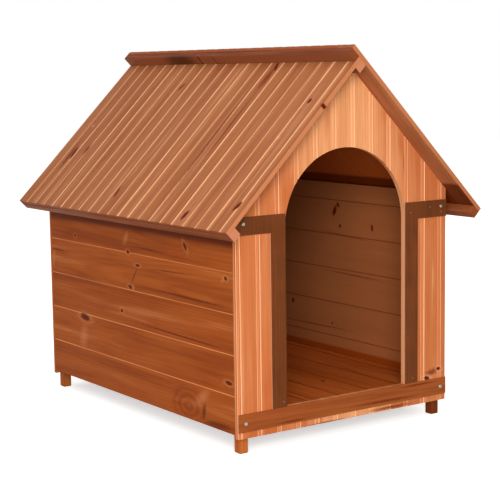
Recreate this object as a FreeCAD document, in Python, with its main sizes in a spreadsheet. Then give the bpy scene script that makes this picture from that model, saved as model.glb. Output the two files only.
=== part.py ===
import FreeCAD, Part
import math
import os
import Sketcher
from FreeCAD import Placement, Rotation, Vector

# A pitched-roof timber dog house. Millimetres, +Z up, doorway toward -Y.
# The origin lies on the ground under the middle of the roof.

SIZES = {
    # front and rear panels, and the walls between them
    "houseWidth": 606,
    "wallThick": 11,
    "panelBottom": 36,
    "gableRip": 29,
    "wallBottom": 44,
    "wallFirstJoint": 40,
    "wallDrop": 9.8,
    "wallRip": 45,
    # roof: two sides that meet square at the ridge
    "ridgeHeight": 862,
    "eaveOverhang": 62,
    "roofThick": 10,
    "roofLength": 960,
    "frontOverhang": 55,
    "rearOverhang": 45,
    "roofFrontRip": 31,
    "roofRearRip": 43,
    # doorway
    "doorMargin": 130,
    "sillRise": 55,
    "archDrop": 379.5,
    # brown strips round the doorway
    "stripWidth": 40,
    "stripThick": 3,
    "stripEase": 0.6,
    "armRise": 37.5,
    # posts and battens
    "postSize": 22,
    "footBevel": 2,
    "ridgeBattenWidth": 24,
    "ridgeBattenDepth": 17,
    "ridgeCapWidth": 27,
    "ridgeCapDepth": 15,
    "battenWidth": 22,
    "battenDepth": 20,
    "battenRound": 1.5,
    "gableBattenSetback": 8,
    # floor
    "floorDrop": 6,
    "floorThick": 11,
    "floorRip": 68,
    # tongue and groove, with a bead at the edge and one in the middle
    "tongueLength": 5,
    "tongueThick": 3.4,
    "grooveFit": 0.3,
    "jointGap": 0.2,
    "jointChamfer": 1.4,
    "beadWidth": 9,
    "quirkWidth": 1.6,
    "quirkDepth": 1.8,
    # clearances where pieces seat
    "seatGap": 0.2,
    "endGap": 0.3,
    # pan-head screws
    "screwInset": 18,
    "lowScrewDrop": 21,
    "highScrewDrop": 15,
    "screwLength": 32,
    "screwTip": 4,
    "shankWidth": 3.5,
    "headWidth": 8.5,
    "headEdge": 0.9,
    "headHeight": 2.6,
    "shoulderWidth": 6.8,
    "shoulderHeight": 2.3,
    "crownWidth": 2.8,
    "recessWidth": 1.1,
    "recessSpan": 4.4,
    "recessDepth": 1.3,
    "holeFit": 0.3,
}

# Boards across each panel or side, the outer ones ripped to fit
COUNTS = {"gableCount": 6, "wallCount": 6, "roofCount": 11, "floorCount": 8}

# Shapes this close are taken as touching
NEAR = 1e-6

doc = FreeCAD.newDocument("DogHouse")
sheet = doc.addObject("Spreadsheet::Sheet", "Sizes")
for row, (alias, size) in enumerate(SIZES.items(), start=1):
    sheet.set(f"A{row}", alias)
    sheet.set(f"B{row}", str(size))
    sheet.setAlias(f"B{row}", alias)
doc.recompute()


class Size:
    """A number together with the sheet formula that gives it."""

    def __init__(self, number, formula=None):
        self.number = float(number)
        self.formula = formula or repr(self.number)

    def join(self, other, sign, number):
        return Size(number, f"({self.formula} {sign} {other.formula})")

    def __add__(self, other):
        other = asSize(other)
        return self.join(other, "+", self.number + other.number)

    def __sub__(self, other):
        other = asSize(other)
        return self.join(other, "-", self.number - other.number)

    def __mul__(self, other):
        other = asSize(other)
        return self.join(other, "*", self.number * other.number)

    def __truediv__(self, other):
        other = asSize(other)
        return self.join(other, "/", self.number / other.number)

    def __neg__(self):
        return Size(-self.number, f"(0 - {self.formula})")


def asSize(value):
    return value if isinstance(value, Size) else Size(value)


def dim(alias):
    return Size(getattr(sheet, alias), f"Sizes.{alias}")


def bind(target, name, size):
    target.setExpression(name, size.formula)


# Places worked out from the sizes

ZERO = Size(0)
ROOT2 = Size(math.sqrt(2), "sqrt(2)")

halfWidth = dim("houseWidth") / 2
wallThick = dim("wallThick")
wallInner = halfWidth - wallThick
roofFront = -dim("roofLength") / 2
roofRear = dim("roofLength") / 2
frontFace = roofFront + dim("frontOverhang")
frontInner = frontFace + wallThick
rearFace = roofRear - dim("rearOverhang")
rearInner = rearFace - wallThick
roofThick = dim("roofThick")
slopeLength = (halfWidth + dim("eaveOverhang")) * ROOT2
# the roof's underside where it crosses the outer face of a wall
wallHead = dim("ridgeHeight") - roofThick * ROOT2 - halfWidth
wallTop = wallHead - dim("wallDrop")
ridgeWidth = dim("ridgeBattenWidth")
ridgeDepth = dim("ridgeBattenDepth")
capWidth = dim("ridgeCapWidth")
capDepth = dim("ridgeCapDepth")
battenWidth = dim("battenWidth")
battenDepth = dim("battenDepth")
postSize = dim("postSize")
postInner = wallInner - postSize
seatGap = dim("seatGap")
# depths from the roof's top planes to the far faces of the batten inside the ridge
insideDepth = roofThick + ridgeDepth
insideWidth = roofThick + seatGap + ridgeWidth
hookTop = capWidth + seatGap
gableBattenEnd = wallInner * ROOT2 + roofThick - dim("gableBattenSetback")
doorHalf = halfWidth - dim("doorMargin")
sill = dim("panelBottom") + dim("sillRise")
spring = dim("ridgeHeight") - dim("archDrop")
armTop = spring + dim("armRise")
floorUnder = sill - dim("floorDrop") - dim("floorThick")
screwAcross = halfWidth - dim("screwInset")
screwLow = sill - dim("lowScrewDrop")
screwHigh = armTop - dim("highScrewDrop")

# Widths that the boards cover, from their number and what is ripped off the outer ones
gableCover = (halfWidth * 2 + dim("gableRip")) / COUNTS["gableCount"]
wallCover = (wallTop - dim("wallFirstJoint") + dim("wallRip")) / COUNTS["wallCount"]
roofCover = (dim("roofLength") + dim("roofFrontRip") + dim("roofRearRip")) / COUNTS["roofCount"]
floorCover = (wallInner + dim("floorRip")) * 2 / COUNTS["floorCount"]

# Directions
ACROSS = Vector(1, 0, 0)
BACK = Vector(0, 1, 0)
UP = Vector(0, 0, 1)
LEFT_FACE = Vector(-1, 0, 1).normalize()
RIGHT_FACE = Vector(1, 0, 1).normalize()
LEFT_FALL = Vector(-1, 0, -1).normalize()
RIGHT_FALL = Vector(1, 0, -1).normalize()


def roofPoint(fromLeftTop, fromRightTop):
    """Level and height of a roof point, from its depth below each side's top plane."""
    across = (fromLeftTop - fromRightTop) / ROOT2
    height = dim("ridgeHeight") - (fromLeftTop + fromRightTop) / ROOT2
    return across, height


def place(target, corner, widthAxis, depthAxis):
    """Turns local X to widthAxis and local Y to depthAxis, and moves the origin to corner."""
    turn = Rotation(widthAxis, depthAxis, widthAxis.cross(depthAxis), "XYZ")
    target.Placement = Placement(Vector(*[size.number for size in corner]), turn)
    for axis, size in zip("xyz", corner):
        bind(target, f".Placement.Base.{axis}", size)


# Sketches

def drawOutline(sketch, points, arcs=None):
    """Closed outline through points; arcs maps an edge's number to its centre height and crest."""
    arcs = arcs or {}
    spots = [Vector(across.number, along.number, 0) for across, along in points]
    count = len(points)
    for index in range(count):
        start, end = spots[index], spots[(index + 1) % count]
        if index in arcs:
            middle = Vector((start.x + end.x) / 2, arcs[index][1].number, 0)
            sketch.addGeometry(Part.Arc(start, middle, end))
        else:
            sketch.addGeometry(Part.LineSegment(start, end))
    for index in range(count):
        sketch.addConstraint(Sketcher.Constraint("Coincident", index, 2, (index + 1) % count, 1))
    for index, (across, along) in enumerate(points):
        pin(sketch, index, 1, across, along)
    for index, (centre, _) in arcs.items():
        number = sketch.addConstraint(
            Sketcher.Constraint("DistanceY", -1, 1, index, 3, centre.number))
        bind(sketch, f"Constraints[{number}]", centre)


def pin(sketch, index, end, across, along):
    for kind, size in (("DistanceX", across), ("DistanceY", along)):
        number = sketch.addConstraint(Sketcher.Constraint(kind, -1, 1, index, end, size.number))
        bind(sketch, f"Constraints[{number}]", size)


def drawCircles(sketch, centres, radius):
    for index, (across, along) in enumerate(centres):
        centre = Vector(across.number, along.number, 0)
        sketch.addGeometry(Part.Circle(centre, Vector(0, 0, 1), radius.number))
        pin(sketch, index, 3, across, along)
        number = sketch.addConstraint(Sketcher.Constraint("Radius", index, radius.number))
        bind(sketch, f"Constraints[{number}]", radius)


def newBody(name):
    body = doc.addObject("PartDesign::Body", name)
    body.Label = name
    return body


def bodySketch(body, name, role):
    """An empty sketch on one of the body's own base planes."""
    sketch = body.newObject("Sketcher::SketchObject", f"{body.Name}_{name}")
    plane = [item for item in body.Origin.OriginFeatures if item.Role == role][0]
    sketch.AttachmentSupport = [(plane, "")]
    sketch.MapMode = "FlatFace"
    return sketch


def pad(body, sketch, length):
    feature = body.newObject("PartDesign::Pad", f"{body.Name}_pad")
    feature.Profile = sketch
    bind(feature, "Length", length)
    sketch.Visibility = False
    doc.recompute()
    return feature


def cutThrough(body, sketch, name):
    """Cuts the sketch through the body, both ways from its plane."""
    before = body.Shape.Volume
    feature = body.newObject("PartDesign::Pocket", f"{body.Name}_{name}")
    feature.Profile = sketch
    feature.Type = "ThroughAll"
    feature.Midplane = True
    sketch.Visibility = False
    doc.recompute()
    if body.Shape.Volume >= before:
        raise RuntimeError(f"{feature.Name} removes nothing")
    return feature


def edgesWhere(shape, test):
    return [f"Edge{number}" for number, edge in enumerate(shape.Edges, start=1) if test(edge)]


def runsAlong(edge, axis):
    first, last = edge.Vertexes[0].Point, edge.Vertexes[-1].Point
    return (last - first).normalize().isEqual(axis, NEAR) or \
        (first - last).normalize().isEqual(axis, NEAR)


# Boards

def boardProfile(name, cover, thick, beaded):
    """Section of a board: groove at the left edge, tongue at the right, face upward."""
    right = cover - dim("jointGap")
    tongueEnd = right + dim("tongueLength")
    tongueLow = (thick - dim("tongueThick")) / 2
    tongueHigh = (thick + dim("tongueThick")) / 2
    grooveLow = tongueLow - dim("grooveFit")
    grooveHigh = tongueHigh + dim("grooveFit")
    grooveEnd = dim("tongueLength") + dim("grooveFit")
    chamfer = dim("jointChamfer")
    points = [(ZERO, ZERO), (right, ZERO),
              (right, tongueLow), (tongueEnd, tongueLow),
              (tongueEnd, tongueHigh), (right, tongueHigh),
              (right, thick - chamfer), (right - chamfer, thick)]
    arcs = {}
    if beaded:
        foot = thick - dim("quirkDepth")
        bead, quirk = dim("beadWidth"), dim("quirkWidth")
        depth = dim("quirkDepth")
        centre = thick - (bead * bead / 4 + depth * depth) / (depth * 2)
        for start in (cover / 2, ZERO):
            points.append((start + bead + quirk, thick))
            arcs[len(points)] = (centre, thick)
            points += [(start + bead, foot), (start, foot)]
            if start is not ZERO:
                points.append((start - quirk, thick))
    else:
        points += [(chamfer, thick), (ZERO, thick - chamfer)]
    points += [(ZERO, grooveHigh), (grooveEnd, grooveHigh), (grooveEnd, grooveLow), (ZERO, grooveLow)]
    sketch = doc.addObject("Sketcher::SketchObject", name)
    drawOutline(sketch, points, arcs)
    sketch.Visibility = False
    return sketch


def boardBlank(name, profile, length, corner, widthAxis, faceAxis):
    """A full board before it is cut to its panel; faceAxis points out of the good face."""
    blank = doc.addObject("Part::Extrusion", f"{name}_blank")
    blank.Base = profile
    blank.DirMode = "Custom"
    blank.Dir = Vector(0, 0, 1)
    blank.Solid = True
    bind(blank, "LengthFwd", length)
    place(blank, corner, widthAxis, faceAxis)
    return blank


nodes = []


def finish(target, name=None):
    """Marks an object as one of the finished pieces."""
    if name:
        target.Label = name
    nodes.append(target)
    return target


def trimmed(name, blank, outline):
    piece = doc.addObject("Part::Common", name)
    piece.Base = blank
    piece.Tool = outline
    return finish(piece, name)


def box(name, corner, spans):
    block = doc.addObject("Part::Box", name)
    for side, span in zip(("Length", "Width", "Height"), spans):
        bind(block, side, span)
    place(block, corner, ACROSS, BACK)
    return block


# Side walls: level boards between the front and rear panels

def sideWalls():
    profile = boardProfile("wall_board_profile", wallCover, wallThick, beaded=False)
    front = frontInner + dim("endGap")
    rear = rearInner - dim("endGap")
    height = wallTop - dim("wallBottom")
    for side, outward, inner, start, outer in (
            ("left", -ACROSS, -wallInner, rear, -halfWidth),
            ("right", ACROSS, wallInner, front, wallInner)):
        outline = box(f"{side}_wall_outline", (outer, front, dim("wallBottom")),
                      (wallThick, rear - front, height))
        for index in range(COUNTS["wallCount"]):
            name = f"{side}_wall_board_{index + 1}"
            corner = (inner, start, dim("wallFirstJoint") + wallCover * index)
            trimmed(name, boardBlank(name, profile, rear - front, corner, UP, outward), outline)


# Front and rear panels: upright boards under the roof slopes

def gableOutline(name, outerFace):
    """The panel's outline, with the notch at its point for the ridge batten inside the roof."""
    body = newBody(name)
    underside = roofThick + seatGap
    notchDepth, notchWidth = insideDepth + seatGap, insideWidth + seatGap
    shoulder = wallHead - seatGap * ROOT2
    bottom = dim("panelBottom")
    points = [(-halfWidth, bottom), (halfWidth, bottom), (halfWidth, shoulder),
              roofPoint(notchDepth, underside), roofPoint(notchDepth, notchWidth),
              roofPoint(underside, notchWidth), (-halfWidth, shoulder)]
    sketch = bodySketch(body, "outline", "XZ_Plane")
    drawOutline(sketch, points)
    pad(body, sketch, wallThick)
    place(body, (ZERO, outerFace, ZERO), ACROSS, BACK)
    return body


def screwCentres():
    return [(side, height) for side in (-screwAcross, screwAcross)
            for height in (screwLow, screwHigh)]


def frontPanel():
    outline = gableOutline("front_outline", frontInner)
    doorway = bodySketch(outline, "doorway", "XZ_Plane")
    corners = [(-doorHalf, sill), (doorHalf, sill), (doorHalf, spring), (-doorHalf, spring)]
    drawOutline(doorway, corners, {2: (spring, spring + doorHalf)})
    cutThrough(outline, doorway, "doorway_cut")
    holes = bodySketch(outline, "holes", "XZ_Plane")
    drawCircles(holes, screwCentres(), dim("shankWidth") / 2 + dim("holeFit"))
    cutThrough(outline, holes, "hole_cut")
    profile = boardProfile("gable_board_profile", gableCover, wallThick, beaded=True)
    top, bottom = dim("ridgeHeight"), dim("panelBottom")
    for index in range(COUNTS["gableCount"]):
        left = gableCover * index - halfWidth
        right = left + gableCover
        inDoorway = left.number >= -doorHalf.number and right.number <= doorHalf.number
        name = f"front_board_{index + 1}"
        # the doorway leaves a short piece of such a board below the sill
        foot = sill if inDoorway else bottom
        blank = boardBlank(name, profile, top - foot, (left, frontInner, top), ACROSS, -BACK)
        trimmed(name, blank, outline)
        if inDoorway:
            name = f"sill_board_{index + 1}"
            blank = boardBlank(name, profile, sill - bottom, (left, frontInner, sill), ACROSS, -BACK)
            trimmed(name, blank, outline)
    return profile


def rearPanel(profile):
    outline = gableOutline("rear_outline", rearFace)
    bottom = dim("panelBottom")
    for index in range(COUNTS["gableCount"]):
        name = f"rear_board_{index + 1}"
        corner = (gableCover * index - halfWidth, rearInner, bottom)
        blank = boardBlank(name, profile, dim("ridgeHeight") - bottom, corner, ACROSS, BACK)
        trimmed(name, blank, outline)


# Roof: beaded boards from ridge to eave, on an eave batten and a ridge batten

def roofSide(side, profile, faceAxis, turn, start, length):
    """start is the corner of the slab's underside, length runs along the slope."""
    across, height = start
    slab = doc.addObject("Part::Box", f"{side}_roof_slab")
    for name, span in (("Length", length), ("Width", dim("roofLength")), ("Height", roofThick)):
        bind(slab, name, span)
    slab.Placement.Rotation = Rotation(BACK, turn)
    for axis, size in zip("xyz", (across, roofFront, height)):
        bind(slab, f".Placement.Base.{axis}", size)
    blanks = []
    for index in range(COUNTS["roofCount"]):
        corner = (across, roofFront - dim("roofFrontRip") + roofCover * index, height)
        blanks.append(boardBlank(f"{side}_roof_board_{index + 1}", profile, length, corner,
                                 BACK, faceAxis))
    group = doc.addObject("Part::Compound", f"{side}_roof_blanks")
    group.Links = blanks
    trimmed(f"{side}_roof_boards", group, slab)


def roof():
    profile = boardProfile("roof_board_profile", roofCover, roofThick, beaded=True)
    # the left side ends square against the underside of the right one
    roofSide("left", profile, LEFT_FACE, -45, roofPoint(roofThick, slopeLength),
             slopeLength - roofThick - seatGap)
    # the right side runs on past the left one by its ridge batten
    roofSide("right", profile, RIGHT_FACE, 45, roofPoint(-hookTop, roofThick),
             slopeLength + hookTop)
    length = dim("roofLength")
    eaveStart, eaveDepth = slopeLength - battenWidth, roofThick + battenDepth
    spots = (
        ("left_eave_batten", roofPoint(eaveDepth, eaveStart), battenWidth, battenDepth, "left"),
        ("right_eave_batten", roofPoint(eaveStart, eaveDepth), battenWidth, battenDepth, "right"),
        ("left_ridge_batten", roofPoint(insideDepth, roofThick + seatGap),
         ridgeWidth, ridgeDepth, "left"),
        ("right_ridge_batten", roofPoint(-hookTop, roofThick + capDepth), capWidth, capDepth, "right"),
    )
    for name, (across, height), width, depth, side in spots:
        if side == "left":
            batten(name, width, depth, length, (across, roofFront, height), LEFT_FALL, LEFT_FACE)
        else:
            batten(name, width, depth, length, (across, roofRear, height), RIGHT_FALL, RIGHT_FACE)


# Battens and posts: square timber with eased edges

def batten(name, width, depth, length, corner, widthAxis, depthAxis):
    body = newBody(name)
    sketch = bodySketch(body, "section", "XY_Plane")
    drawOutline(sketch, [(ZERO, ZERO), (width, ZERO), (width, depth), (ZERO, depth)])
    bar = pad(body, sketch, length)
    longEdges = edgesWhere(bar.Shape, lambda edge: runsAlong(edge, UP))
    easing = body.newObject("PartDesign::Fillet", f"{name}_easing")
    easing.Base = (bar, longEdges)
    bind(easing, "Radius", dim("battenRound"))
    doc.recompute()
    place(body, corner, widthAxis, depthAxis)
    return finish(body)


def gableBattens():
    """Slope battens inside the front and rear panels; boards and roof are fixed to them."""
    depth = roofThick + battenDepth
    inner = insideWidth + seatGap
    length = gableBattenEnd - inner
    for panel, near in (("front", frontInner), ("rear", rearInner - battenWidth)):
        across, height = roofPoint(depth, gableBattenEnd)
        batten(f"{panel}_left_gable_batten", battenWidth, battenDepth, length,
               (across, near, height), BACK, LEFT_FACE)
        across, height = roofPoint(inner, depth)
        batten(f"{panel}_right_gable_batten", battenWidth, battenDepth, length,
               (across, near, height), BACK, RIGHT_FACE)


def post(name, left, near, screwAt=None):
    """A corner post whose lower end is a foot; screwAt is the pilot holes' distance from its left."""
    body = newBody(name)
    sketch = bodySketch(body, "section", "XY_Plane")
    drawOutline(sketch, [(ZERO, ZERO), (postSize, ZERO), (postSize, postSize), (ZERO, postSize)])
    bar = pad(body, sketch, wallTop)
    footEdges = edgesWhere(bar.Shape, lambda edge: edge.BoundBox.ZMax < NEAR)
    bevel = body.newObject("PartDesign::Chamfer", f"{name}_foot_bevel")
    bevel.Base = (bar, footEdges)
    bind(bevel, "Size", dim("footBevel"))
    doc.recompute()
    easing = body.newObject("PartDesign::Fillet", f"{name}_easing")
    easing.Base = (bevel, edgesWhere(bevel.Shape, lambda edge: runsAlong(edge, UP)))
    bind(easing, "Radius", dim("battenRound"))
    doc.recompute()
    if screwAt:
        pilots = bodySketch(body, "pilots", "XZ_Plane")
        centres = [(screwAt, screwLow), (screwAt, screwHigh)]
        drawCircles(pilots, centres, (dim("shankWidth") + dim("holeFit")) / 2)
        cutThrough(body, pilots, "pilot_cut")
    place(body, (left, near, ZERO), ACROSS, BACK)
    return finish(body)


def posts():
    fromLeft = dim("screwInset") - wallThick
    rearNear = rearInner - postSize
    post("front_left_post", -wallInner, frontInner, fromLeft)
    post("front_right_post", postInner, frontInner, postSize - fromLeft)
    post("rear_left_post", -wallInner, rearNear)
    post("rear_right_post", postInner, rearNear)


# Floor: boards on three bearers, held at the sides by ledges along the walls

def floorOutline():
    """The floor between walls and panels, notched at its corners round the posts."""
    body = newBody("floor_outline")
    gap = dim("endGap")
    side, inner = wallInner - gap, postInner - gap
    front, rear = frontInner + gap, rearInner - gap
    notchFront = frontInner + postSize + gap
    notchRear = rearInner - postSize - gap
    points = [(-inner, front), (inner, front), (inner, notchFront), (side, notchFront),
              (side, notchRear), (inner, notchRear), (inner, rear), (-inner, rear),
              (-inner, notchRear), (-side, notchRear), (-side, notchFront), (-inner, notchFront)]
    sketch = bodySketch(body, "outline", "XY_Plane")
    drawOutline(sketch, points)
    pad(body, sketch, dim("floorThick"))
    place(body, (ZERO, ZERO, floorUnder), ACROSS, BACK)
    return body


def floor():
    profile = boardProfile("floor_board_profile", floorCover, dim("floorThick"), beaded=False)
    outline = floorOutline()
    for index in range(COUNTS["floorCount"]):
        name = f"floor_board_{index + 1}"
        corner = (floorCover * index - wallInner - dim("floorRip"), rearInner, floorUnder)
        trimmed(name, boardBlank(name, profile, rearInner - frontInner, corner, ACROSS, UP), outline)
    low = floorUnder - battenDepth
    between = rearInner - frontInner - postSize * 2
    for side, left in (("left", -wallInner), ("right", wallInner - battenWidth)):
        batten(f"{side}_floor_ledge", battenWidth, battenDepth, between - seatGap * 2,
               (left, rearInner - postSize - seatGap, low), ACROSS, UP)
    reach = wallInner - postSize - seatGap
    middle = (frontInner + rearInner - battenWidth) / 2
    for spot, near in (("front", frontInner), ("middle", middle),
                       ("rear", rearInner - battenWidth)):
        batten(f"{spot}_floor_bearer", battenWidth, battenDepth, reach * 2,
               (-reach, near, low), BACK, UP)


# Strips round the doorway, and their screws

def strip(name, points, holes):
    body = newBody(name)
    sketch = bodySketch(body, "outline", "XZ_Plane")
    drawOutline(sketch, points)
    plate = pad(body, sketch, dim("stripThick"))
    front = plate.Shape.BoundBox.YMin
    rim = edgesWhere(plate.Shape, lambda edge: edge.BoundBox.YMax - front < NEAR)
    easing = body.newObject("PartDesign::Fillet", f"{name}_easing")
    easing.Base = (plate, rim)
    bind(easing, "Radius", dim("stripEase"))
    doc.recompute()
    sketch = bodySketch(body, "holes", "XZ_Plane")
    drawCircles(sketch, holes, dim("shankWidth") / 2 + dim("holeFit"))
    cutThrough(body, sketch, "hole_cut")
    place(body, (ZERO, frontFace, ZERO), ACROSS, BACK)
    return finish(body)


def doorStrips():
    width = dim("stripWidth")
    foot = sill + dim("jointGap")
    low = sill - width
    for side, name in ((-1, "left_arch_strip"), (1, "right_arch_strip")):
        inner, outer, edge = doorHalf * side, (doorHalf + width) * side, halfWidth * side
        points = [(inner, foot), (outer, foot), (outer, armTop - width),
                  (edge, armTop - width), (edge, armTop), (inner, armTop)]
        strip(name, points, [(screwAcross * side, screwHigh)])
    points = [(-halfWidth, low), (halfWidth, low), (halfWidth, sill), (-halfWidth, sill)]
    strip("threshold_strip", points,
          [(-screwAcross, screwLow), (screwAcross, screwLow)])


def screw(name, across, height):
    """A pan-head screw with a cross recess; its local Z points out of the head."""
    body = newBody(name)
    length, tip = dim("screwLength"), dim("screwTip")
    shank, head = dim("shankWidth") / 2, dim("headWidth") / 2
    edge, crown = dim("headEdge"), dim("headHeight")
    flat = dim("crownWidth") / 2
    sketch = bodySketch(body, "half_section", "XZ_Plane")
    shoulder = (dim("shoulderWidth") / 2, dim("shoulderHeight"))
    points = [(ZERO, -length), (shank, tip - length), (shank, ZERO), (head, ZERO), (head, edge),
              shoulder, (flat, crown), (ZERO, crown)]
    drawOutline(sketch, points)
    turned = body.newObject("PartDesign::Revolution", f"{name}_turned")
    turned.Profile = sketch
    turned.ReferenceAxis = (sketch, ["V_Axis"])
    turned.Angle = 360
    sketch.Visibility = False
    doc.recompute()
    recess = bodySketch(body, "recess", "XY_Plane")
    bind(recess, ".AttachmentOffset.Base.z", crown - dim("recessDepth"))
    slot, reach = dim("recessWidth") / 2, dim("recessSpan") / 2
    drawOutline(recess, [(slot, -reach), (slot, -slot), (reach, -slot), (reach, slot),
                         (slot, slot), (slot, reach), (-slot, reach), (-slot, slot),
                         (-reach, slot), (-reach, -slot), (-slot, -slot), (-slot, -reach)])
    before = body.Shape.Volume
    cross = body.newObject("PartDesign::Pocket", f"{name}_cross")
    cross.Profile = recess
    cross.Type = "ThroughAll"
    cross.Reversed = True
    recess.Visibility = False
    doc.recompute()
    if body.Shape.Volume >= before:
        raise RuntimeError(f"{name} has no recess")
    place(body, (across, frontFace - dim("stripThick"), height), ACROSS, UP)
    return body


def screws():
    names = ("screw_left_low", "screw_left_high", "screw_right_low", "screw_right_high")
    group = doc.addObject("Part::Compound", "strip_screws")
    group.Links = [screw(name, across, height)
                   for name, (across, height) in zip(names, screwCentres())]
    finish(group, "strip_screws")


sideWalls()
gableProfile = frontPanel()
rearPanel(gableProfile)
roof()
gableBattens()
posts()
floor()
doorStrips()
screws()
doc.recompute()

for item in doc.Objects:
    if "Invalid" in item.State or "Error" in item.State:
        raise RuntimeError(f"{item.Name} failed: {item.State}")
for node in nodes:
    if node.Shape.isNull() or not node.Shape.isValid() or not node.Shape.Solids:
        raise RuntimeError(f"{node.Label} has no sound solid")

os.makedirs("parts", exist_ok=True)
for node in nodes:
    node.Shape.exportStep(f"parts/{node.Label}.step")
    print(node.Label, len(node.Shape.Solids), round(node.Shape.Volume))
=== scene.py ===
import math

import bpy
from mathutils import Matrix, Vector


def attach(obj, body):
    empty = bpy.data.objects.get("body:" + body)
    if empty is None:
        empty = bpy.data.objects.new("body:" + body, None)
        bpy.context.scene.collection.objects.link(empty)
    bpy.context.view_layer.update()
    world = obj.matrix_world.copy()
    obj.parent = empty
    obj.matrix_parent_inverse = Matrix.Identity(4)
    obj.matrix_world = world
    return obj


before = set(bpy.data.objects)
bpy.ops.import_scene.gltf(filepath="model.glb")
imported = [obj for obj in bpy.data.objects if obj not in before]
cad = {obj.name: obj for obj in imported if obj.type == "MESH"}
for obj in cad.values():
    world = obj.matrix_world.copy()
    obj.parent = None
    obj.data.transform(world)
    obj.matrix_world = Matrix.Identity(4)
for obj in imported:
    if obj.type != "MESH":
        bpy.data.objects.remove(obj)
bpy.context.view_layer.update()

scene = bpy.context.scene
print("frame loaded:", len(cad), "pieces")


# an sRGB hex colour as linear red, green, blue and alpha
def toLinear(hexColour):
    channels = [int(hexColour[i:i + 2], 16) / 255 for i in (1, 3, 5)]
    return (*[c / 12.92 if c <= 0.04045 else ((c + 0.055) / 1.055) ** 2.4 for c in channels], 1.0)


def mm(value):
    return value / 1000


# adds a node; an input may be a value, a socket, or a node whose first output is taken
def add(tree, kind, inputs=None, **settings):
    node = tree.nodes.new(kind)
    for name, value in settings.items():
        setattr(node, name, value)
    for socket, value in (inputs or {}).items():
        if isinstance(value, bpy.types.Node):
            value = value.outputs[0]
        if isinstance(value, bpy.types.NodeSocket):
            tree.links.new(value, node.inputs[socket])
        else:
            node.inputs[socket].default_value = value
    return node


def newMaterial(name):
    material = bpy.data.materials.new(name)
    material.use_nodes = True
    material.node_tree.nodes.clear()
    return material, material.node_tree


def dress(node, material):
    cad[node].data.materials.clear()
    cad[node].data.materials.append(material)


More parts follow.
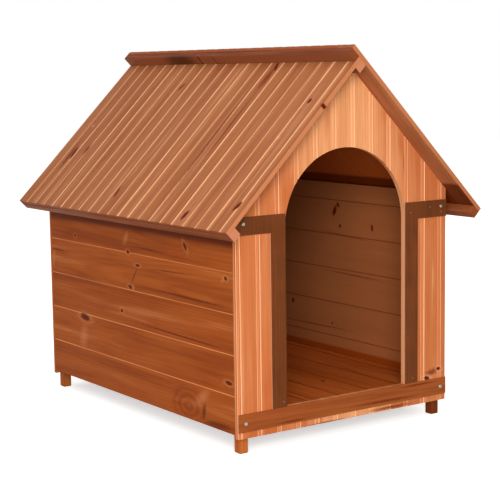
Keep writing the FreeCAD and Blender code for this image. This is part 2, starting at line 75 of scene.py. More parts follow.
# Stained fir: planed boards with a thin brown stain and hardly any varnish. It shows as long
# soft streaks, slow bands where the rings are cut flat, small dark knots with a pale rim, and
# pale lines on the moulded edges, partly where the stain was rubbed off and partly a painted
# highlight where they catch the light.
fir = {
    # the log that a board comes from
    "ring": 6.5,            # a year's growth, drawn twice as wide as real so that it shows, mm
    "earlyWood": 0.15,      # where a ring starts to darken and where it is darkest, in rings
    "lateWood": 0.82,
    "nextRing": 0.05,       # darkness left where the next one starts
    "pithLeast": 12,        # the heart lies at least so far below the board's face, mm
    "pithDepth": 55,        # and at most so much deeper, mm
    "pithAcross": 130,      # width of the strip that it lies in, mm
    "lean": 0.08,           # how much it may rise or sink along the board
    "wave": 20,             # wander of the rings, mm
    "swing": 12,            # how far the rings bend round a knot, mm
    "swingReach": 4.5,      # and how far off they still do, in widths of the knot
    "swirlSwing": 34,       # the same for a swirl
    "swirlReach": 1.6,
    "swirlTurns": 5.0,
    "swirlEdge": (0.9, 1.3),
    "swirlMix": 0.5,
    # noises stretched along the grain: cycles to the metre along, across and through a board
    "sway": (2.2, 13, 13),
    "cloud": (4, 16, 9),
    "streak": (1.7, 34, 24),
    "fibre": (8, 1000 / 3, 220),    # lines 3 mm wide, far coarser than real so that they show
    "ragged": (150, 240, 200),
    "detail": {"sway": 2.5, "cloud": 2.0, "streak": 3.5, "fibre": 2.5, "ragged": 1.0},
    "noiseRoughness": 0.58,
    "apart": (9.0, 4.0, 5.0),       # how far apart the boards may lie in the noises
    "seedStep": 1.37,
    "lineSeed": 3.3,
    # shares of the tones, and the noises that lay them on: from, full at, share and tone
    "tintMix": 0.6,         # the middle tone in the most stained board
    "outer": None,          # or how far from the middle the boards begin and end to darken, mm
    "streakMix": 0.5,
    "ringMix": 0.32,
    "fibreMix": 0.2,
    "bleach": 0.22,
    "washes": (("cloud", 0.50, 0.72, "bleach", "light"), ("cloud", 0.50, 0.30, "tintMix", "mid"),
               ("streak", 0.46, 0.66, "streakMix", "dark"),
               ("streak", 0.44, 0.28, "bleach", "pale"),
               ("fibre", 0.46, 0.66, "fibreMix", "dark")),
    # the board's form, for what follows its edges
    "thick": 11,            # mm
    "beaded": False,
    "faceDepth": 2.4,       # nearer to the face than this counts as the face, mm
    "backDepth": 1.5,       # and nearer to the back than this as the back, mm
    "blur": 3,              # half width of a soft limit, mm
    # edge lines, pale from rubbed stain and from a painted highlight: place after the board's
    # start, less the lead, and strength
    "line": 1.4,            # half width, mm
    "lineFade": (0.55, 1.6),        # full out to, and gone at, in half widths
    "lineLead": 3,          # mm
    "beadLines": ((2.6, 1.0), (7.5, 0.35), (12.4, 0.9)),
    "plainLines": ((2.4, 1.0),),
    "lineMix": 0.8,
    "lineLeast": 0.5,       # the faintest line
    "lineWorn": 0.6,        # and the share left where the stain is clouded
    "lineClouds": (0.3, 0.62),
    "lineTone": "pale",
    # the back
    "backJoint": 0.5,       # dark joints
    "backJointFade": (0.7, 2.2),    # full out to, and gone at, mm
    "innerMix": 0.0,        # less stain indoors
    "innerDepth": 2,        # which starts and ends so far under each face, mm
    "roomHalf": 427,        # and ends at the gables, mm from the middle
    "skirt": None,          # height of a darker red band at the foot of a wall's back, mm
    "eaveShadeMix": 0.0,         # painted shade: darker below the eave on a wall's face, and on the roof boards' backs beyond the wall
    # ends and narrow sides, by how squarely they face that way
    "squarely": (0.75, 0.9),
    "end": "#7d3d1f",       # end grain drinks more stain
    "endMix": 0.7,
    "vergeMix": 0.0,
    # marks: along, across, half length, half width in mm, and degrees turned
    "patches": (),          # plain pale spots
    "slashes": (),          # dark streaks without a rim
    "knots": (),
    "swirls": (),           # pale figure round a buried branch
    "rough": 0.9,           # raggedness of their rims, in widths
    "knot": "#541802",
    "knotHeart": "#6a2608",
    "patch": "#eab084",
    "patchMix": 0.35,
    "slashMix": 0.8,
    "rim": 0.25,            # pale wood round a knot
    "heartMix": 0.9,
    "knotMix": 1.0,
    "marks": (("patches", 0.1, 1.4, "patchMix", "patch"),
              ("slashes", 0.2, 1.4, "slashMix", "knotHeart"), ("knots", 1.1, 2.6, "rim", "pale"),
              ("knots", 0.8, 1.3, "heartMix", "knotHeart"), ("knots", 0.4, 1.0, "knotMix", "knot")),
    # the surface
    "ior": 1.45,
    "specular": 0.05,       # hardly any varnish
    "roughness": 0.5,
    "smoother": 0.07,       # how far it falls and rises along the fibres
    "rougher": 0.1,
    "glossFibres": (0.3, 0.7),
    "relief": 0.15,         # mm
    "reliefStrength": 0.5,
    "fibreRelief": 0.8,     # of the fibres beside the rings
}


# distance to the nearest of some ovals: 0 at a middle, 1 at a rim
def nearest(tree, flat, ovals):
    closest = None
    for alongMm, acrossMm, halfLong, halfWide, turned in ovals:
        local = add(tree, "ShaderNodeMapping", {
            "Vector": flat, "Location": (mm(alongMm), mm(acrossMm), 0),
            "Rotation": (0, 0, math.radians(turned)),
            "Scale": (mm(halfLong), mm(halfWide), 1)}, vector_type="TEXTURE")
        reach = add(tree, "ShaderNodeVectorMath", {0: local}, operation="LENGTH").outputs["Value"]
        if closest:
            reach = add(tree, "ShaderNodeMath", {0: reach, 1: closest},
                        operation="MINIMUM").outputs[0]
        closest = reach
    return closest


def firMaterial(name, look):
    look = {**fir, **look}
    material, tree = newMaterial(name)
    number, vector, fade = "ShaderNodeMath", "ShaderNodeVectorMath", "ShaderNodeMapRange"
    place = add(tree, "ShaderNodeTexCoord").outputs["Object"]
    facing = add(tree, "ShaderNodeNewGeometry").outputs["True Normal"]
    if "turn" in look:
        turn = (0, math.radians(look["turn"]), 0)
        place = add(tree, "ShaderNodeMapping", {"Vector": place, "Rotation": turn})
        facing = add(tree, "ShaderNodeMapping", {"Vector": facing, "Rotation": turn},
                     vector_type="VECTOR")
    axes = add(tree, "ShaderNodeSeparateXYZ", {0: place})
    along, across, deep = (axes.outputs["XYZ".index(letter)] for letter in look["axes"])
    fromMiddle = add(tree, number, {0: across}, operation="ABSOLUTE")
    sides = add(tree, "ShaderNodeSeparateXYZ", {0: facing})
    endward, edgeward = (add(tree, number, {0: sides.outputs["XYZ".index(letter)]},
                             operation="ABSOLUTE") for letter in look["axes"][:2])
    # depth below the good face, as a negative number
    below = add(tree, number, {0: deep, 1: look["faceSign"], 2: -mm(look["faceAt"])},
                operation="MULTIPLY_ADD")
    onFace = add(tree, number, {0: below, 1: -mm(look["faceDepth"])}, operation="GREATER_THAN")
    behind = add(tree, number, {0: below, 1: -mm(look["thick"] - look["backDepth"])},
                 operation="LESS_THAN")

    # the board, a few random numbers of its own, and the place within it
    pitch = mm(look["pitch"])
    fromStart = add(tree, number, {0: across, 1: mm(look["start"])}, operation="SUBTRACT")
    count = add(tree, number, {0: fromStart, 1: pitch}, operation="DIVIDE")
    board = add(tree, number, {0: count}, operation="FLOOR")
    label = add(tree, number, {0: board, 1: look["seedStep"], 2: look["seed"]},
                operation="MULTIPLY_ADD")
    dice = add(tree, "ShaderNodeTexWhiteNoise", {"W": label}, noise_dimensions="1D")
    rolls = add(tree, "ShaderNodeSeparateColor", {0: dice.outputs["Color"]})
    inBoard = add(tree, number, {0: fromStart, 1: pitch}, operation="FLOORED_MODULO")
    apart = add(tree, vector, {0: dice.outputs["Color"], 1: look["apart"]}, operation="MULTIPLY")
    boardPlace = add(tree, "ShaderNodeCombineXYZ", {0: along, 1: inBoard, 2: below})
    timber = add(tree, vector, {0: boardPlace, 1: apart}, operation="ADD")

    noises = {}
    for key, detail in look["detail"].items():
        stretched = add(tree, vector, {0: timber, 1: look[key]}, operation="MULTIPLY")
        noises[key] = add(tree, "ShaderNodeTexNoise",
                          {"Vector": stretched, "Scale": 1.0, "Detail": detail,
                           "Roughness": look["noiseRoughness"]}).outputs[0]

    # distances to the marks, with a slightly ragged rim
    flat = add(tree, "ShaderNodeCombineXYZ", {0: along, 1: across})
    spots = {}
    for key in ("knots", "slashes", "swirls", "patches"):
        if look[key]:
            roughBy = noises["sway" if key == "swirls" else "ragged"]
            reach = add(tree, number, {0: roughBy, 1: look["rough"],
                                       2: nearest(tree, flat, look[key])},
                        operation="MULTIPLY_ADD")
            spots[key] = add(tree, number, {0: reach, 1: look["rough"] / 2},
                             operation="SUBTRACT")

    # rings round a heart that lies below the face, a little out of line with the board
    strip = mm(look["pithAcross"])
    heartAcross = add(tree, number, {0: rolls.outputs[0], 1: strip, 2: pitch / 2 - strip / 2},
                      operation="MULTIPLY_ADD")
    heartBelow = add(tree, number, {0: rolls.outputs[1], 1: mm(look["pithDepth"]),
                                    2: mm(look["pithLeast"])}, operation="MULTIPLY_ADD")
    lean = add(tree, number, {0: rolls.outputs[2], 1: look["lean"], 2: -look["lean"] / 2},
               operation="MULTIPLY_ADD")
    heartBelow = add(tree, number, {0: along, 1: lean, 2: heartBelow}, operation="MULTIPLY_ADD")
    aside = add(tree, number, {0: inBoard, 1: heartAcross}, operation="SUBTRACT")
    down = add(tree, number, {0: below, 1: heartBelow}, operation="ADD")
    ringPlace = add(tree, "ShaderNodeCombineXYZ", {1: aside, 2: down})
    radius = add(tree, vector, {0: ringPlace}, operation="LENGTH").outputs["Value"]
    radius = add(tree, number, {0: noises["sway"], 1: mm(look["wave"]), 2: radius},
                 operation="MULTIPLY_ADD")
    for key, swing, far in (("knots", "swing", "swingReach"),
                            ("swirls", "swirlSwing", "swirlReach")):
        if key in spots:
            bend = add(tree, fade, {"Value": spots[key], "From Min": 0.0, "From Max": look[far],
                                    "To Min": mm(look[swing]), "To Max": 0.0},
                       interpolation_type="SMOOTHERSTEP")
            radius = add(tree, number, {0: radius, 1: bend}, operation="ADD")
    years = add(tree, number, {0: radius, 1: mm(look["ring"])}, operation="DIVIDE")
    year = add(tree, number, {0: years}, operation="FRACT")
    rings = add(tree, "ShaderNodeValToRGB", {0: year})
    ramp = rings.color_ramp
    ramp.interpolation = "EASE"
    ramp.elements[0].position, ramp.elements[1].position = look["earlyWood"], look["lateWood"]
    ramp.elements[0].color, ramp.elements[1].color = (0, 0, 0, 1), (1, 1, 1, 1)
    ramp.elements.new(1.0).color = (*[look["nextRing"]] * 3, 1)

    # the stack of tones, each laid over the one before by its share
    if look["outer"]:
        near, far = look["outer"]
        tint = add(tree, fade, {"Value": fromMiddle, "From Min": mm(near), "From Max": mm(far),
                                "To Min": 0.0, "To Max": look["tintMix"]})
    else:
        tint = add(tree, number, {0: dice.outputs["Value"], 1: look["tintMix"]},
                   operation="MULTIPLY")
    layers = [(tint, "mid")]
    for key, low, high, share, colour in look["washes"]:
        layers.append((add(tree, fade, {"Value": noises[key], "From Min": low, "From Max": high,
                                        "To Min": 0.0, "To Max": look[share]},
                           interpolation_type="SMOOTHSTEP"), colour))
    ringShare = add(tree, number, {0: rings, 1: look["ringMix"]}, operation="MULTIPLY")
    layers.append((ringShare, "dark"))
    if "swirls" in spots:
        near, far = look["swirlEdge"]
        figure = add(tree, fade, {"Value": spots["swirls"], "From Min": near, "From Max": far,
                                  "To Min": look["swirlMix"], "To Max": 0.0})
        turns = add(tree, number, {0: spots["swirls"], 1: look["swirlTurns"]},
                    operation="MULTIPLY")
        turns = add(tree, number, {0: turns, 1: 1.0}, operation="PINGPONG")
        layers.append((add(tree, number, {0: figure, 1: turns}, operation="MULTIPLY"), "dark"))
    if look["innerMix"]:
        share = add(tree, fade, {
            "Value": below, "From Min": -mm(look["thick"] - look["innerDepth"]),
            "From Max": -mm(look["innerDepth"]), "To Min": look["innerMix"], "To Max": 0.0})
        if look["beaded"]:
            indoors = add(tree, fade, {
                "Value": fromMiddle, "From Min": mm(look["roomHalf"] - look["blur"]),
                "From Max": mm(look["roomHalf"] + look["blur"]), "To Min": 1.0, "To Max": 0.0})
            share = add(tree, number, {0: share, 1: indoors}, operation="MULTIPLY")
        layers.append((share, "inner"))

    # edge lines: both sides of each bead, or the chamfered joints of plain boards; where pale,
    # partly rubbed stain and partly a painted highlight where the edges catch the light
    shifted = add(tree, number, {0: fromStart, 1: mm(look["lineLead"])}, operation="ADD")
    step = pitch / 2 if look["beaded"] else pitch
    inStep = add(tree, number, {0: shifted, 1: step}, operation="FLOORED_MODULO")
    lineNumber = add(tree, number, {0: shifted, 1: step}, operation="DIVIDE")
    lineNumber = add(tree, number, {0: lineNumber}, operation="FLOOR")
    lineLabel = add(tree, number, {0: lineNumber, 1: look["seed"] + look["lineSeed"]},
                    operation="ADD")
    lineDice = add(tree, "ShaderNodeTexWhiteNoise", {"W": lineLabel}, noise_dimensions="1D")
    lineShare = add(tree, number, {0: lineDice.outputs["Value"], 1: 1 - look["lineLeast"],
                                   2: look["lineLeast"]}, operation="MULTIPLY_ADD")
    low, high = look["lineClouds"]
    uneven = add(tree, fade, {"Value": noises["cloud"], "From Min": low, "From Max": high,
                              "To Min": look["lineMix"],
                              "To Max": look["lineMix"] * look["lineWorn"]})
    lineShare = add(tree, number, {0: lineShare, 1: uneven}, operation="MULTIPLY")
    lineShare = add(tree, number, {0: lineShare, 1: onFace}, operation="MULTIPLY")
    near, far = look["lineFade"]
    for middle, strength in look["beadLines"] if look["beaded"] else look["plainLines"]:
        off = add(tree, number, {0: inStep, 1: mm(middle)}, operation="SUBTRACT")
        off = add(tree, number, {0: off}, operation="ABSOLUTE")
        line = add(tree, fade, {"Value": off, "From Min": mm(look["line"]) * near,
                                "From Max": mm(look["line"]) * far, "To Min": strength,
                                "To Max": 0.0}, interpolation_type="SMOOTHSTEP")
        layers.append((add(tree, number, {0: line, 1: lineShare}, operation="MULTIPLY"),
                       look["lineTone"]))

    # dark joints on the back of the boards
    off = add(tree, number, {0: shifted, 1: pitch}, operation="FLOORED_MODULO")
    off = add(tree, number, {0: off, 1: mm(look["lineLead"])}, operation="SUBTRACT")
    off = add(tree, number, {0: off}, operation="ABSOLUTE")
    near, far = look["backJointFade"]
    joint = add(tree, fade, {"Value": off, "From Min": mm(near), "From Max": mm(far),
                             "To Min": look["backJoint"], "To Max": 0.0},
                interpolation_type="SMOOTHSTEP")
    layers.append((add(tree, number, {0: joint, 1: behind}, operation="MULTIPLY"), "knot"))
    # a darker red band at the foot of a wall's back
    if look["skirt"]:
        foot = add(tree, fade, {"Value": across, "From Min": mm(look["skirt"] - look["blur"]),
                                "From Max": mm(look["skirt"] + look["blur"]),
                                "To Min": 1.0, "To Max": 0.0})
        layers.append((add(tree, number, {0: foot, 1: behind}, operation="MULTIPLY"), "foot"))
    # painted shade under the eave, in the knot tone: a band at the top of a wall's face, and the
    # roof boards' backs beyond the wall
    if look["eaveShadeMix"]:
        run = add(tree, number, {0: along}, operation="ABSOLUTE") if look["beaded"] else fromMiddle
        eaveShade = add(tree, fade, {"Value": run, "From Min": mm(look["eaveShadeFrom"]),
                                 "From Max": mm(look["eaveShadeTo"]), "To Min": 0.0,
                                 "To Max": look["eaveShadeMix"]}, interpolation_type="SMOOTHSTEP")
        side = behind if look["beaded"] else onFace
        layers.append((add(tree, number, {0: eaveShade, 1: side}, operation="MULTIPLY"), "knot"))

    low, high = look["squarely"]
    for side, share, colour in ((endward, "endMix", "end"), (edgeward, "vergeMix", "verge")):
        if look[share]:
            layers.append((add(tree, fade, {"Value": side, "From Min": low, "From Max": high,
                                            "To Min": 0.0, "To Max": look[share]}), colour))
    for key, near, far, share, colour in look["marks"]:
        if key in spots:
            layers.append((add(tree, fade, {
                "Value": spots[key], "From Min": near, "From Max": far, "To Min": look[share],
                "To Max": 0.0}, interpolation_type="SMOOTHSTEP"), colour))

    tone = toLinear(look["light"])
    for share, colour in layers:
        tone = add(tree, "ShaderNodeMix", {"Factor": share, "A": tone,
                                           "B": toLinear(look[colour])},
                   data_type="RGBA").outputs["Result"]
    height = add(tree, number, {0: noises["fibre"], 1: look["fibreRelief"], 2: rings},
                 operation="MULTIPLY_ADD")
    bump = add(tree, "ShaderNodeBump", {"Height": height, "Distance": mm(look["relief"]),
                                        "Strength": look["reliefStrength"]})
    low, high = look["glossFibres"]
    gloss = add(tree, fade, {"Value": noises["fibre"], "From Min": low, "From Max": high,
                             "To Min": look["roughness"] - look["smoother"],
                             "To Max": look["roughness"] + look["rougher"]})
    # the backs are sawn and have no varnish
    varnish = add(tree, number, {0: behind, 1: -look["specular"], 2: look["specular"]},
                  operation="MULTIPLY_ADD")
    shader = add(tree, "ShaderNodeBsdfPrincipled", {
        "Base Color": tone, "Roughness": gloss, "Normal": bump, "IOR": look["ior"],
        "Specular IOR Level": varnish})
    add(tree, "ShaderNodeOutputMaterial", {"Surface": shader})
    return material


# The panels' own tones, marks and places. Each says which axes run along, across and through
# its boards, where its good face is, and where the first board starts.
wallTones = {"light": "#a6551f", "mid": "#8e4013", "dark": "#702904", "pale": "#ec9c62",
             "inner": "#975a35", "innerMix": 0.8, "streak": (1.2, 24, 24), "ringMix": 0.22,
             "fibreMix": 0.1, "streakMix": 0.55, "knotHeart": "#551c05",
             "start": 40, "pitch": 90.03, "line": 0.9, "lineMix": 1.0,
             # painted shade below the eave, between these heights, mm
             "eaveShadeMix": 0.85, "eaveShadeFrom": 446, "eaveShadeTo": 462}
frontTones = {"light": "#e09b68", "mid": "#b85f30", "dark": "#a85626", "pale": "#fabf92",
              "outer": (60, 200), "beaded": True, "start": -303, "pitch": 105.83,
              "streak": (2.2, 52, 24),
              "streakMix": 0.25, "ringMix": 0.15, "fibreMix": 0.12, "tintMix": 0.8,
              "lineMix": 1.0, "line": 1.0,
              "vergeMix": 0.5, "verge": "#e0a577", "end": "#b06a3c", "endMix": 0.35}
roofTones = {"light": "#a36640", "mid": "#8f5230", "dark": "#773618", "pale": "#eab084",
             "line": 1.0, "lineMix": 1.0,
             # painted shade on the boards' backs beyond the wall, under the eave
             "backJoint": 0.2, "eaveShadeMix": 0.8, "eaveShadeFrom": 197, "eaveShadeTo": 183,
             "beaded": True, "start": -511, "pitch": 94, "thick": 10, "streak": (2.6, 48, 24),
             "streakMix": 0.26, "ringMix": 0.16, "fibreMix": 0.12, "rim": 0.0,
             "inner": "#aa4b14", "innerMix": 0.85, "vergeMix": 0.75, "faceAt": 609.53}
panels = {
    "leftWall": {
        **wallTones, "axes": "YZX", "faceSign": -1.0, "faceAt": 303, "seed": 3.1,
        "knots": ((294, 417, 5, 3.5, 0), (30, 401, 7, 4, 0), (-225, 439, 11, 5, 50),
                  (-15, 373, 10, 3.5, 0), (22, 317, 9, 4.5, 5), (65, 254, 6, 4.5, 0),
                  (252, 211, 23, 8, 4), (-385, 385, 6, 4, 20), (-391, 156, 12, 4.5, 4)),
        "slashes": ((-60, 416, 80, 2.4, 1), (2, 346, 30, 2.5, -54), (-160, 374, 100, 1.2, -2),
                    (-240, 323, 185, 3, 0.5), (-200, 231, 215, 2.4, 1),
                    (400, 371, 60, 2.2, 0), (-292, 72, 22, 6, -78), (-350, 53, 66, 9, -3)),
        "swirls": ((-228, 74, 62, 36, 0),),
        "patchMix": 0.6, "patch": "#ba6f44", "rim": 0.15,
        "patches": ((38, 434, 20, 9, -55), (262, 160, 20, 34, 20), (-285, 104, 34, 14, -35),
                    (8, 318, 7, 6, 0), (-374, 380, 10, 5, -40), (415, 348, 8, 24, 12),
                    (-413, 250, 2.4, 190, 0)),
    },
    "rightWall": {
        **wallTones, "axes": "YZX", "faceSign": 1.0, "faceAt": 303, "seed": 8.4,
        "rim": 0.0, "knotHeart": "#6f3014", "skirt": 102, "foot": "#83370c",
        "knots": ((-20, 462, 7, 14, 24), (-34, 478, 5, 7, -40), (-42, 424, 5, 5, 0),
                  (-170, 429, 4, 9, -10), (163, 202, 6, 6, 0), (-8, 162, 3, 3, 0),
                  (-290, 270, 9, 6, 0), (310, 350, 8, 5, 0)),
        "slashes": ((-100, 300, 120, 2.2, 1), (60, 150, 150, 2.2, -1),
                    (-60, 400, 90, 2, 3)),
    },
    "front": {
        **frontTones, "axes": "ZXY", "faceSign": -1.0, "faceAt": 425, "seed": 5.7,
        "knots": ((751, -66, 6, 5, 0), (95, 245, 5, 9, 12), (113, 283, 4, 6, 0)),
        "slashes": ((612, 172, 34, 2, 0), (108, 262, 8, 26, -12), (42, 130, 4, 70, 0),
                    (36, -60, 3, 60, 0)),
        "patchMix": 0.9, "patch": "#f3cda4",
        "patches": ((85, -135, 6, 38, 0), (85, -70, 6, 22, 0)),
    },
    "rear": {
        **frontTones, "axes": "ZXY", "faceSign": 1.0, "faceAt": 435, "seed": 12.3,
        "vergeMix": 0.9, "verge": "#94501f",
        "knots": ((410, -120, 9, 5, 0), (250, 60, 7, 5, 0), (600, 30, 8, 4, 0),
                  (140, 210, 7, 6, 0), (330, -250, 8, 5, 0)),
    },
    "leftRoof": {
        **roofTones, "axes": "XYZ", "turn": 45, "faceSign": 1.0, "seed": 7.9,
        "verge": "#c0784f",
        "knots": ((506, 136, 12, 4, -28), (268, 400, 20, 6, 8), (162, 48, 18, 4.5, 10),
                  (122, -292, 14, 7, -12), (163, -450, 13, 5, -14), (572, -203, 14, 5, 22),
                  (466, -424, 8, 6, 0), (455, -480, 5, 5, 0)),
        "slashes": ((255, 412, 46, 9, 6), (282, 350, 18, 8, 0), (535, -200, 40, 12, 0),
                    (330, -170, 150, 5, 1), (380, -200, 120, 4, -1)),
        "patches": ((357, -411, 6, 5, 20), (362, 416, 4, 8, -15)),
    },
    "rightRoof": {
        **roofTones, "axes": "XYZ", "turn": -45, "faceSign": 1.0, "seed": 15.2,
        "light": "#b2724a", "mid": "#9c5c38", "verge": "#b06a42",
        "knots": ((-420, 210, 15, 5, 10), (-150, -60, 18, 5, -8), (-300, -330, 14, 6, 0),
                  (-520, 20, 12, 5, 0), (-210, 380, 20, 5, 5)),
    },
    "floorBoards": {
        "axes": "YXZ", "faceSign": 1.0, "faceAt": 85, "start": -360, "pitch": 90, "seed": 4.4,
        "light": "#bf5f26", "mid": "#a24b19", "dark": "#70290a", "pale": "#c07640",
        "lineTone": "knot", "lineMix": 1.0, "line": 2.4, "knot": "#3a1002",
        "streakMix": 0.3, "fibreMix": 0.08, "ringMix": 0.2,
        "knots": ((-260, 60, 8, 5, 0), (40, -120, 9, 5, 0), (250, 150, 7, 5, 0)),
    },
}
panelOf = (
    ("left_wall_board", "leftWall"), ("right_wall_board", "rightWall"),
    ("front_board", "front"), ("sill_board", "front"), ("rear_board", "rear"),
    ("left_roof", "leftRoof"), ("right_roof", "rightRoof"), ("floor_board", "floorBoards"),
)
panelMaterials = {key: firMaterial("stainedFir_" + key, look) for key, look in panels.items()}
for node in cad:
    for prefix, key in panelOf:
        if node.startswith(prefix):
            dress(node, panelMaterials[key])
print("boards stained")


# Battens and posts: one length of darker stained fir each, so the pattern has one wide board,
# so thick that no side counts as its back.
batten = {"faceSign": 1.0, "faceAt": 0, "start": -900, "pitch": 1800, "pithAcross": 50,
          "ring": 4, "streak": (3, 70, 24), "thick": 2000, "lineMix": 0.0,
          "light": "#9a5733", "mid": "#864423", "dark": "#652b10", "pale": "#c07b50"}
postTones = {"axes": "ZXY", "light": "#bc6830", "mid": "#a85522", "dark": "#8a3f12",
             "pale": "#e09a68", "end": "#8a4520"}
battens = {
    "right_ridge_batten": {"axes": "YXZ", "turn": 45, "seed": 2.2,
                           "light": "#7d4127", "mid": "#6b321d", "dark": "#4f1e0b",
                           "vergeMix": 0.7, "verge": "#945434", "knotHeart": "#40200c",
                           "knots": ((118, 585, 4, 3, 0), (53, 585, 2.5, 2, 0)),
                           "slashes": ((208, 585, 75, 8, 0), (-40, 597, 200, 1.5, 0))},
    "left_ridge_batten": {"axes": "YXZ", "seed": 1.1, "end": "#c98361"},
    "left_eave_batten": {"axes": "YXZ", "seed": 3.3, "end": "#c98361"},
    "right_eave_batten": {"axes": "YXZ", "seed": 4.6},
    "front_left_gable_batten": {"axes": "XYZ", "turn": 45, "seed": 5.1},
    "rear_left_gable_batten": {"axes": "XYZ", "turn": 45, "seed": 5.9},
    "front_right_gable_batten": {"axes": "XYZ", "turn": -45, "seed": 6.4},
    "rear_right_gable_batten": {"axes": "XYZ", "turn": -45, "seed": 6.8},
    "front_left_post": {**postTones, "seed": 7.7},
    # the front right post: darker wood, with painted shade for the shade that corner stands in
    "front_right_post": {**postTones, "seed": 8.1, "light": "#743212", "mid": "#64280c",
                         "dark": "#5a2409", "pale": "#a8643a"},
    "rear_left_post": {**postTones, "seed": 9.2, "light": "#b0632f", "mid": "#9c5222"},
    "rear_right_post": {**postTones, "seed": 10.3},
    "left_floor_ledge": {"axes": "YXZ", "seed": 11.2},
    "right_floor_ledge": {"axes": "YXZ", "seed": 11.8},
    "front_floor_bearer": {"axes": "XYZ", "seed": 12.1},
    "middle_floor_bearer": {"axes": "XYZ", "seed": 12.7},
    "rear_floor_bearer": {"axes": "XYZ", "seed": 13.4},
}
for node, look in battens.items():
    dress(node, firMaterial("stainedFir_" + node, {**batten, **look}))
print("battens and posts stained")


# Stained fir again for the threshold, a flat strip, redder than the posts.
dress("threshold_strip", firMaterial("stainedFir_threshold", {
    **batten, "axes": "XZY", "faceSign": -1.0, "faceAt": 428, "seed": 6.6, "roughness": 0.55,
    "ringMix": 0.15, "fibreMix": 0.1, "streakMix": 0.35,
    "light": "#a0582a", "mid": "#8c411b", "dark": "#652710", "pale": "#c07c48",
    "slashes": ((-160, 56, 40, 3, 0), (120, 60, 90, 4, -1), (215, 84, 60, 3, 0))}))


# Chocolate paint: matt oil paint brushed on thin flat strips, with faint long brush marks.
paint = {
    "colour": "#6c3614", "deep": "#592b0d",
    "worn": "#c79472",          # the pale narrow sides: rubbed paint, with a painted highlight along the edges
    "wornMix": 0.75,
    "wornFacing": (-0.9, -0.5),
    "brush": 3.5,               # brush marks drawn this wide, coarser than bristles leave, mm
    "brushAlong": 6.0,          # of them to the metre, end to end
    "clouds": 14.0,             # uneven patches to the metre
    "spread": (0.75, 1.25),     # of marks and patches together, from the colour to the deep tone
    "relief": 0.1,              # mm
    "reliefStrength": 0.4,
    "roughness": 0.62, "ior": 1.5, "specular": 0.12,
}


def paintMaterial(name, along):
    material, tree = newMaterial(name)
    place = add(tree, "ShaderNodeTexCoord").outputs["Object"]
    stretch = [1 / mm(paint["brush"])] * 3
    stretch["XYZ".index(along)] = paint["brushAlong"]
    brushed = add(tree, "ShaderNodeVectorMath", {0: place, 1: stretch}, operation="MULTIPLY")
    marks = add(tree, "ShaderNodeTexNoise", {"Vector": brushed, "Scale": 1.0, "Detail": 2.0})
    cloud = add(tree, "ShaderNodeTexNoise", {"Vector": place, "Scale": paint["clouds"],
                                             "Detail": 3.0})
    both = add(tree, "ShaderNodeMath", {0: marks, 1: cloud}, operation="ADD")
    low, high = paint["spread"]
    share = add(tree, "ShaderNodeMapRange", {"Value": both, "From Min": low, "From Max": high})
    tone = add(tree, "ShaderNodeMix", {"Factor": share, "A": toLinear(paint["colour"]),
                                       "B": toLinear(paint["deep"])}, data_type="RGBA")
    facing = add(tree, "ShaderNodeNewGeometry").outputs["True Normal"]
    front = add(tree, "ShaderNodeSeparateXYZ", {0: facing}).outputs["Y"]
    # pale narrow sides: rubbed paint and a painted highlight, on every face that doesn't face the
    # front
    low, high = paint["wornFacing"]
    paleSides = add(tree, "ShaderNodeMapRange", {"Value": front, "From Min": low, "From Max": high,
                                              "To Min": 0.0, "To Max": paint["wornMix"]})
    tone = add(tree, "ShaderNodeMix", {"Factor": paleSides, "A": tone.outputs["Result"],
                                       "B": toLinear(paint["worn"])}, data_type="RGBA")
    bump = add(tree, "ShaderNodeBump", {"Height": marks, "Distance": mm(paint["relief"]),
                                        "Strength": paint["reliefStrength"]})
    shader = add(tree, "ShaderNodeBsdfPrincipled", {
        "Base Color": tone.outputs["Result"], "Roughness": paint["roughness"],
        "Normal": bump, "IOR": paint["ior"], "Specular IOR Level": paint["specular"]})
    add(tree, "ShaderNodeOutputMaterial", {"Surface": shader})
    return material


dress("left_arch_strip", paintMaterial("chocolatePaint_left", "Z"))
dress("right_arch_strip", paintMaterial("chocolatePaint_right", "Z"))
print("strips painted")


# Zinc-plated steel screws: bright, a little dulled in spots about 1.5 mm across.
plating = {"bright": "#c4c0b6", "dull": "#857f73", "spots": 700.0, "smooth": 0.25, "rough": 0.5}
zinc, tree = newMaterial("zincPlatedSteel")
place = add(tree, "ShaderNodeTexCoord").outputs["Object"]
dulled = add(tree, "ShaderNodeTexNoise", {"Vector": place, "Scale": plating["spots"],
                                          "Detail": 2.0})
tone = add(tree, "ShaderNodeMix", {"Factor": dulled, "A": toLinear(plating["bright"]),
                                   "B": toLinear(plating["dull"])}, data_type="RGBA")
gloss = add(tree, "ShaderNodeMapRange", {"Value": dulled, "To Min": plating["smooth"],
                                         "To Max": plating["rough"]})
shader = add(tree, "ShaderNodeBsdfPrincipled", {"Base Color": tone.outputs["Result"],
                                                "Metallic": 1.0, "Roughness": gloss})
add(tree, "ShaderNodeOutputMaterial", {"Surface": shader})
dress("strip_screws", zinc)
print("screws plated")


# Steel brads hold the strips: flat domed heads, browned by age, one object from Geometry Nodes.
brads = {
    "places": ((190, 496), (251, 505), (286, 492), (197, 103), (-182, 103)),   # x, z in mm
    "face": -428, "radius": 1.7, "height": 0.9, "segments": 20, "rings": 10,
    "colour": "#7d6a58", "rust": 900.0, "smooth": 0.35, "rough": 0.6,
}
steel, tree = newMaterial("brownedSteel")
place = add(tree, "ShaderNodeTexCoord").outputs["Object"]
rust = add(tree, "ShaderNodeTexNoise", {"Vector": place, "Scale": brads["rust"], "Detail": 2.0})
gloss = add(tree, "ShaderNodeMapRange", {"Value": rust, "To Min": brads["smooth"],
                                         "To Max": brads["rough"]})
shader = add(tree, "ShaderNodeBsdfPrincipled", {"Base Color": toLinear(brads["colour"]),
                                                "Metallic": 1.0, "Roughness": gloss})
add(tree, "ShaderNodeOutputMaterial", {"Surface": shader})

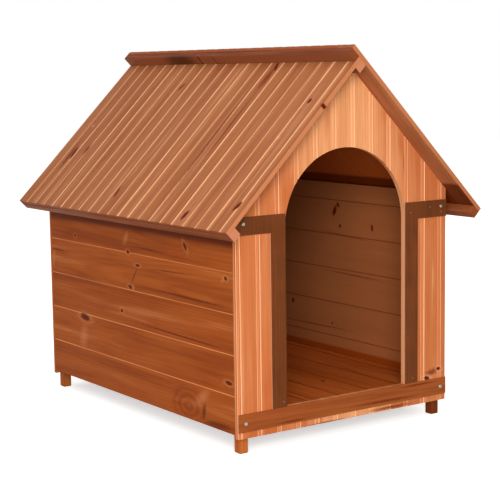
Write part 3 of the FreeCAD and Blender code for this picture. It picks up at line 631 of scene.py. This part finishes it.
bradMesh = bpy.data.meshes.new("stripBrads")
bradMesh.from_pydata([(mm(x), mm(brads["face"]), mm(z)) for x, z in brads["places"]], [], [])
bradObject = bpy.data.objects.new("stripBrads", bradMesh)
scene.collection.objects.link(bradObject)
tree = bpy.data.node_groups.new("bradHeads", "GeometryNodeTree")
sockets = {}
for name, kind in (("Geometry", "NodeSocketGeometry"), ("Radius", "NodeSocketFloat"),
                   ("Height", "NodeSocketFloat"), ("Material", "NodeSocketMaterial")):
    sockets[name] = tree.interface.new_socket(name, in_out="INPUT", socket_type=kind).identifier
tree.interface.new_socket("Geometry", in_out="OUTPUT", socket_type="NodeSocketGeometry")
given = add(tree, "NodeGroupInput")
points = add(tree, "GeometryNodeMeshToPoints", {"Mesh": given.outputs["Geometry"]})
head = add(tree, "GeometryNodeMeshUVSphere", {
    "Segments": brads["segments"], "Rings": brads["rings"], "Radius": given.outputs["Radius"]})
flattening = add(tree, "ShaderNodeCombineXYZ", {0: 1.0, 1: given.outputs["Height"], 2: 1.0})
dome = add(tree, "GeometryNodeTransform", {"Geometry": head, "Scale": flattening})
heads = add(tree, "GeometryNodeInstanceOnPoints", {"Points": points, "Instance": dome})
solid = add(tree, "GeometryNodeRealizeInstances", {"Geometry": heads})
dressed = add(tree, "GeometryNodeSetMaterial", {"Geometry": solid,
                                                "Material": given.outputs["Material"]})
add(tree, "NodeGroupOutput", {0: dressed})
maker = bradObject.modifiers.new("bradHeads", "NODES")
maker.node_group = tree
maker[sockets["Radius"]] = mm(brads["radius"])
maker[sockets["Height"]] = brads["height"] / brads["radius"]
maker[sockets["Material"]] = steel
bradHeads = bpy.data.meshes.new_from_object(
    bradObject.evaluated_get(bpy.context.evaluated_depsgraph_get()))
bradObject.modifiers.remove(maker)
bradObject.data = bradHeads
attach(bradObject, "root")
print("brads made:", len(bradHeads.vertices), "vertices")


# Studio: white all round, a large soft light beside the camera and weaker ones above and behind.
studio = {
    "worldStrength": 0.55,
    "floorHalf": 9.0,
    "floorColour": "#f4f3f0",
    "floorBounce": "#b0aeaa",   # its colour for the light it throws back on the house
    "floorNear": 0.55,          # extra light of the floor beside the house, as the camera sees it
    "floorFar": 0.6,            # and far from it, where the lamps don't reach
    "nearEnds": 0.9, "farBegins": 3.0,
    # place, width, height, watts
    "lamps": {
        "keyLight": ((-2.45, -3.75, 2.15), 1.4, 1.4, 103),
        "fillLight": ((-2.8, -3.3, 0.8), 2.2, 1.4, 85),
        "rearLight": ((2.6, 2.6, 2.4), 2.2, 2.2, 30),
        "topLight": ((-0.9, -0.6, 3.6), 2.4, 2.4, 30),
    },
    "aim": (0, 0, 0.45),
    "lens": 98.66, "sensor": 36,
    "cameraPlace": (-1.94152, -2.7953, 0.83071),
    "cameraTurn": (82.482, 0.777, -35.36),
}


# 1 for what the camera sees directly, in a mirror or through glass
def seenDirectly(tree):
    rays = add(tree, "ShaderNodeLightPath").outputs
    seen = add(tree, "ShaderNodeMath", {0: rays["Is Camera Ray"], 1: rays["Is Glossy Ray"]},
               operation="MAXIMUM")
    return add(tree, "ShaderNodeMath", {0: seen, 1: rays["Is Transmission Ray"]},
               operation="MAXIMUM")


world = bpy.data.worlds.new("paleStudio")
world.use_nodes = True
scene.world = world
tree = world.node_tree
tree.nodes.clear()
light = add(tree, "ShaderNodeBackground", {"Color": (1, 1, 1, 1),
                                           "Strength": studio["worldStrength"]})
white = add(tree, "ShaderNodeBackground", {"Color": (1, 1, 1, 1), "Strength": 1.0})
sky = add(tree, "ShaderNodeMixShader", {0: seenDirectly(tree), 1: light, 2: white})
add(tree, "ShaderNodeOutputWorld", {0: sky})

half = studio["floorHalf"]
floorMesh = bpy.data.meshes.new("studioFloor")
floorMesh.from_pydata([(-half, -half, 0), (half, -half, 0), (half, half, 0), (-half, half, 0)],
                      [], [(0, 1, 2, 3)])
floorObject = bpy.data.objects.new("studioFloor", floorMesh)
scene.collection.objects.link(floorObject)
floorMaterial, tree = newMaterial("paleFloor")
place = add(tree, "ShaderNodeTexCoord").outputs["Object"]
away = add(tree, "ShaderNodeVectorMath", {0: place}, operation="LENGTH").outputs["Value"]
lift = add(tree, "ShaderNodeMapRange", {
    "Value": away, "From Min": studio["nearEnds"], "From Max": studio["farBegins"],
    "To Min": studio["floorNear"], "To Max": studio["floorFar"]})
matt = add(tree, "ShaderNodeBsdfDiffuse", {0: toLinear(studio["floorColour"])})
glow = add(tree, "ShaderNodeEmission", {0: (1, 1, 1, 1), 1: lift})
lifted = add(tree, "ShaderNodeAddShader", {0: matt, 1: glow})
dim = add(tree, "ShaderNodeBsdfDiffuse", {0: toLinear(studio["floorBounce"])})
pale = add(tree, "ShaderNodeMixShader", {0: seenDirectly(tree), 1: dim, 2: lifted})
add(tree, "ShaderNodeOutputMaterial", {"Surface": pale})
floorMesh.materials.append(floorMaterial)

for name, (spot, width, height, watts) in studio["lamps"].items():
    lamp = bpy.data.lights.new(name, "AREA")
    lamp.shape = "RECTANGLE"
    lamp.size, lamp.size_y = width, height
    lamp.energy = watts
    lampObject = bpy.data.objects.new(name, lamp)
    lampObject.location = spot
    aim = Vector(studio["aim"]) - Vector(spot)
    lampObject.rotation_euler = aim.to_track_quat("-Z", "Y").to_euler()
    scene.collection.objects.link(lampObject)

cameraData = bpy.data.cameras.new("photoCamera")
cameraData.lens = studio["lens"]
cameraData.sensor_width = studio["sensor"]
camera = bpy.data.objects.new("photoCamera", cameraData)
camera.location = studio["cameraPlace"]
camera.rotation_euler = [math.radians(angle) for angle in studio["cameraTurn"]]
scene.collection.objects.link(camera)
scene.camera = camera
scene.view_settings.view_transform = "Standard"
print("studio and camera placed")
